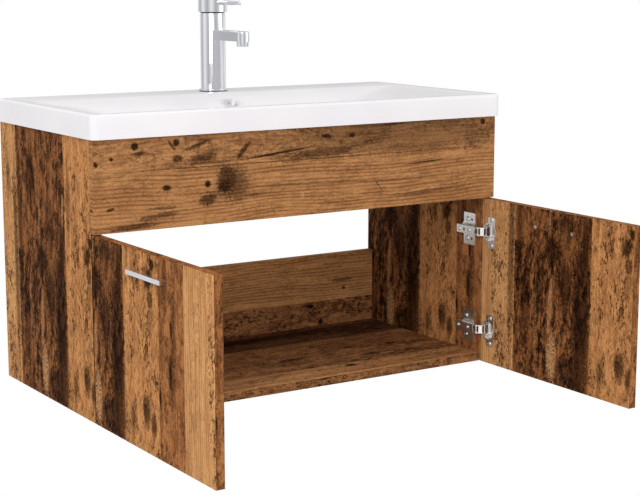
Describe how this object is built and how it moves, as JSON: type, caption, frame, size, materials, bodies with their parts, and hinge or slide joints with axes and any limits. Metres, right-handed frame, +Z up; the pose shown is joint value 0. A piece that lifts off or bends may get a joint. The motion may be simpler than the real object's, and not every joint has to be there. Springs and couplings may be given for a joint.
{
  "type": "wall-hung bathroom vanity cabinet",
  "caption": "Wall-hung bathroom cabinet in aged wood with hinged doors below a fixed front board, topped by a white ceramic basin with a single-lever mixer tap.",
  "frame": {"origin": "middle of the rectangle of four wall-fixing holes, on the plane of the wall", "axes": "+X along the width to the right seen from the front, +Y into the wall, +Z up"},
  "size_m": [0.822, 0.7701, 0.6795],
  "materials": {
    "aged_board": "dull, aged planks",
    "dowel_wood": "plain beech",
    "fitting_zinc": "die-cast zinc",
    "zinc_steel": "bright zinc plated",
    "hinge_nickel": "bright nickel plated",
    "handle_metal": "satin polished",
    "basin_glaze": "white glaze",
    "tap_chrome": "polished chrome",
    "tap_rubber": "black",
    "tap_plastic": "white moulded",
    "tap_brass": "plain"
  },
  "bodies": {
    "carcass": {"side_panel_left": "aged_board", "side_panel_right": "aged_board", "bottom_panel": "aged_board", "lower_back_rail": "aged_board", "upper_back_rail": "aged_board", "front_fascia": "aged_board", "joint_dowels": "dowel_wood", "cam_locks": "fitting_zinc", "cam_bolts": "zinc_steel", "hinge_plates": "hinge_nickel", "hinge_plate_screws": "zinc_steel", "hinge_arms": "hinge_nickel", "hinge_arm_screws": "zinc_steel", "hinge_arm_pins": "hinge_nickel", "basin": "basin_glaze", "tap_body": "tap_chrome", "tap_base_ring": "tap_chrome", "tap_base_seal": "tap_rubber", "aerator_ring": "tap_chrome", "aerator_insert": "tap_plastic", "tap_cartridge": "tap_plastic", "cartridge_nut": "tap_brass", "tap_stud": "tap_brass", "tap_rubber_washer": "tap_rubber", "tap_steel_washer": "zinc_steel", "tap_nut": "tap_brass"},
    "lever_turner": {"lever_carrier": "tap_plastic", "lever_lift_pin": "zinc_steel"},
    "lever": {"lever_stem": "tap_brass", "lever_cap": "tap_chrome", "lever_stick": "tap_chrome", "lever_grub_screw": "zinc_steel"},
    "links_left": {"hinge_links_left": "hinge_nickel"},
    "door_left": {"door_left": "aged_board", "hinge_cups_left": "hinge_nickel", "hinge_cup_pins_left": "hinge_nickel", "hinge_cup_screws_left": "zinc_steel", "handle_left": "handle_metal", "handle_screws_left": "zinc_steel"},
    "links_right": {"hinge_links_right": "hinge_nickel"},
    "door_right": {"door_right": "aged_board", "hinge_cups_right": "hinge_nickel", "hinge_cup_pins_right": "hinge_nickel", "hinge_cup_screws_right": "zinc_steel", "handle_right": "handle_metal", "handle_screws_right": "zinc_steel"}
  },
  "joints": [
    {"name": "link_left_turn", "type": "hinge", "parent": "carcass", "child": "links_left", "pos_m": [-0.374, -0.373, 0], "axis": [0, 0, 1], "range_deg": [-30.11, 3.27]},
    {"name": "door_left_swing", "type": "hinge", "parent": "links_left", "child": "door_left", "pos_m": [-0.387, -0.38169, 0], "axis": [0, 0, 1], "range_deg": [-13, 120.1]},
    {"name": "link_right_turn", "type": "hinge", "parent": "carcass", "child": "links_right", "pos_m": [0.374, -0.373, 0], "axis": [0, 0, -1], "range_deg": [-30.11, 3.27]},
    {"name": "door_right_swing", "type": "hinge", "parent": "links_right", "child": "door_right", "pos_m": [0.387, -0.38169, 0], "axis": [0, 0, -1], "range_deg": [-13, 120.1]},
    {"name": "lever_turn", "type": "hinge", "parent": "carcass", "child": "lever_turner", "pos_m": [0, -0.05, 0.3965], "axis": [0, 0, 1], "range_deg": [-45, 45]},
    {"name": "lever_lift", "type": "hinge", "parent": "lever_turner", "child": "lever", "pos_m": [0, -0.05, 0.3965], "axis": [-1, 0, 0], "range_deg": [0, 25]}
  ],
  "couplings": [
    {"joint": "link_left_turn", "follows": "door_left_swing", "ratio": -0.25065},
    {"joint": "link_right_turn", "follows": "door_right_swing", "ratio": -0.25065}
  ]
}
